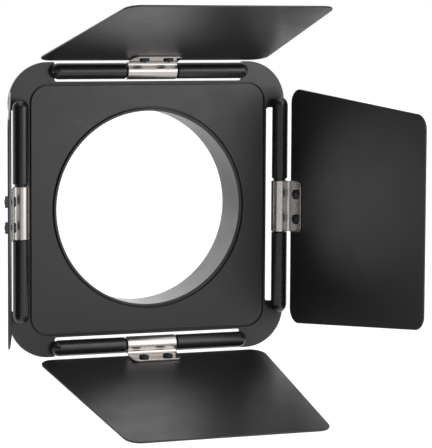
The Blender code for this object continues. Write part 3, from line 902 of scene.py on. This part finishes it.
def build_leaf_assemblies(materials):
    leaf = build_leaf(materials)
    clip = build_clip(materials)
    screw = build_screw(materials)
    nut = build_nut(materials)
    for side in HINGES:
        matrix = leaf_frame(side)
        body = HINGES[side]["child"]
        first = side == "top"
        leaf_piece = leaf if first else copy_of(leaf, "door_leaf_" + side)
        clip_piece = clip if first else copy_of(clip, "spring_clip_" + side)
        set_piece(leaf_piece, "leaf_" + side, body, matrix)
        set_piece(clip_piece, "hinge_clip_" + side, body, matrix)
        for number, x in enumerate(screw_places(), start=1):
            place = matrix @ Matrix.Translation((x, -SCREW_REACH, 0))
            lead = first and number == 1
            screw_piece = screw if lead else copy_of(screw, f"pan_screw_{side}_{number}")
            nut_piece = nut if lead else copy_of(nut, f"hexagon_nut_{side}_{number}")
            set_piece(screw_piece, f"clamp_screw_{side}_{number}", body, place)
            set_piece(nut_piece, f"clamp_nut_{side}_{number}", body, place)


# ---------------------------------------------------------------- studio

def build_camera():
    forward = Vector((math.sin(CAMERA_AZIMUTH) * math.cos(CAMERA_ELEVATION),
                      math.cos(CAMERA_AZIMUTH) * math.cos(CAMERA_ELEVATION),
                      math.sin(CAMERA_ELEVATION)))
    right = Vector((math.cos(CAMERA_AZIMUTH), -math.sin(CAMERA_AZIMUTH), 0))
    matrix = Matrix((right, right.cross(forward), -forward)).transposed().to_4x4()
    data = bpy.data.cameras.new("camera")
    data.sensor_width = 36
    data.lens = CAMERA_LENS
    data.clip_start = 0.01
    camera = bpy.data.objects.new("camera", data)
    bpy.context.scene.collection.objects.link(camera)
    camera.matrix_world = (Matrix.Translation(CAMERA_PLACE) @ matrix
                           @ Matrix.Rotation(CAMERA_ROLL, 4, "Z"))
    bpy.context.scene.camera = camera


def direction_to(azimuth, elevation):
    """Unit vector, azimuth from straight in front of the object towards its right."""
    azimuth = math.radians(azimuth)
    elevation = math.radians(elevation)
    return (math.sin(azimuth) * math.cos(elevation), -math.cos(azimuth) * math.cos(elevation),
            math.sin(elevation))


def build_world():
    """The room lights the object, and the camera sees it as plain white."""
    world = bpy.data.worlds.new("studio")
    bpy.context.scene.world = world
    world.use_nodes = True
    tree = world.node_tree
    direction = tree.nodes.new("ShaderNodeTexCoord").outputs["Generated"]

    def number(operation, first, second):
        node = tree.nodes.new("ShaderNodeMath")
        node.operation = operation
        for socket, value in zip(node.inputs, (first, second)):
            if isinstance(value, bpy.types.NodeSocket):
                tree.links.new(value, socket)
            else:
                socket.default_value = value
        return node.outputs["Value"]

    light = ROOM_LIGHT
    for azimuth, elevation, full, faded, strength in BRIGHT_AREAS.values():
        share = tree.nodes.new("ShaderNodeVectorMath")
        share.operation = "DOT_PRODUCT"
        share.inputs[1].default_value = direction_to(azimuth, elevation)
        tree.links.new(direction, share.inputs[0])
        angle = number("ARCCOSINE", share.outputs["Value"], 0.0)
        fade = tree.nodes.new("ShaderNodeMapRange")
        fade.interpolation_type = "SMOOTHSTEP"
        for socket, value in zip(("From Min", "From Max", "To Min", "To Max"),
                                 (math.radians(faded), math.radians(full), 0, strength)):
            fade.inputs[socket].default_value = value
        tree.links.new(angle, fade.inputs["Value"])
        light = number("ADD", light, fade.outputs["Result"])
    seen = tree.nodes.new("ShaderNodeLightPath").outputs["Is Camera Ray"]
    choice = tree.nodes.new("ShaderNodeMix")
    choice.inputs["B"].default_value = 1.0
    tree.links.new(seen, choice.inputs["Factor"])
    tree.links.new(light, choice.inputs["A"])
    tree.links.new(choice.outputs["Result"], tree.nodes["Background"].inputs["Strength"])
    tree.nodes["Background"].inputs["Color"].default_value = (1, 1, 1, 1)
    bpy.context.scene.view_settings.view_transform = "Standard"


def build_softbox():
    data = bpy.data.lights.new("softbox", "AREA")
    data.shape = "RECTANGLE"
    data.size = SOFTBOX_WIDTH
    data.size_y = SOFTBOX_HEIGHT
    data.energy = SOFTBOX_STRENGTH * math.pi * SOFTBOX_WIDTH * SOFTBOX_HEIGHT
    softbox = bpy.data.objects.new("softbox", data)
    bpy.context.scene.collection.objects.link(softbox)
    softbox.location = Vector(SOFTBOX_LOW_CORNER) + Vector((SOFTBOX_WIDTH, 0, SOFTBOX_HEIGHT)) / 2
    softbox.rotation_euler = (math.radians(90), 0, 0)
    softbox.visible_camera = False


def build_floor():
    """A pale seamless floor well below the object."""
    shader = Shader("pale_floor", (0.82, 0.82, 0.82), 0.9)
    cloud = shader.noise(0.6, 2.0)
    shader.link(shader.between(cloud, (0.81, 0.81, 0.81), (0.83, 0.83, 0.83)),
                shader.surface.inputs["Base Color"])
    shader.surface.inputs["Emission Color"].default_value = (1, 1, 1, 1)
    shader.surface.inputs["Emission Strength"].default_value = FLOOR_GLOW
    mesh_data = bmesh.new()
    bmesh.ops.create_grid(mesh_data, x_segments=8, y_segments=8, size=FLOOR_HALF_SIZE)
    floor = object_from("floor", mesh_data)
    floor.location = (0, 0, FLOOR_HEIGHT)
    floor.data.materials.append(shader.material)


def main():
    materials = {
        "satin_black": powder_coat("satin_black", (0.0125, 0.0125, 0.013), 0.33, 0.22 * MM),
        "leaf_black": powder_coat("leaf_black", (0.013, 0.013, 0.0135), 0.38, 0.22 * MM),
        "bar_black": gloss_paint("bar_black", (0.009, 0.009, 0.0095), 0.26),
        "nickel": plated_strip("nickel", (0.50, 0.47, 0.45), 0.24),
        "dark_zinc": black_zinc("dark_zinc", (0.060, 0.061, 0.065), 0.30),
    }
    build_frame_plate(materials)
    build_front_panel(materials)
    build_collar(materials)
    build_rivets(materials)
    build_hinge_bars(materials)
    build_bar_screws(materials)
    build_leaf_assemblies(materials)
    build_camera()
    build_world()
    build_softbox()
    build_floor()


main()
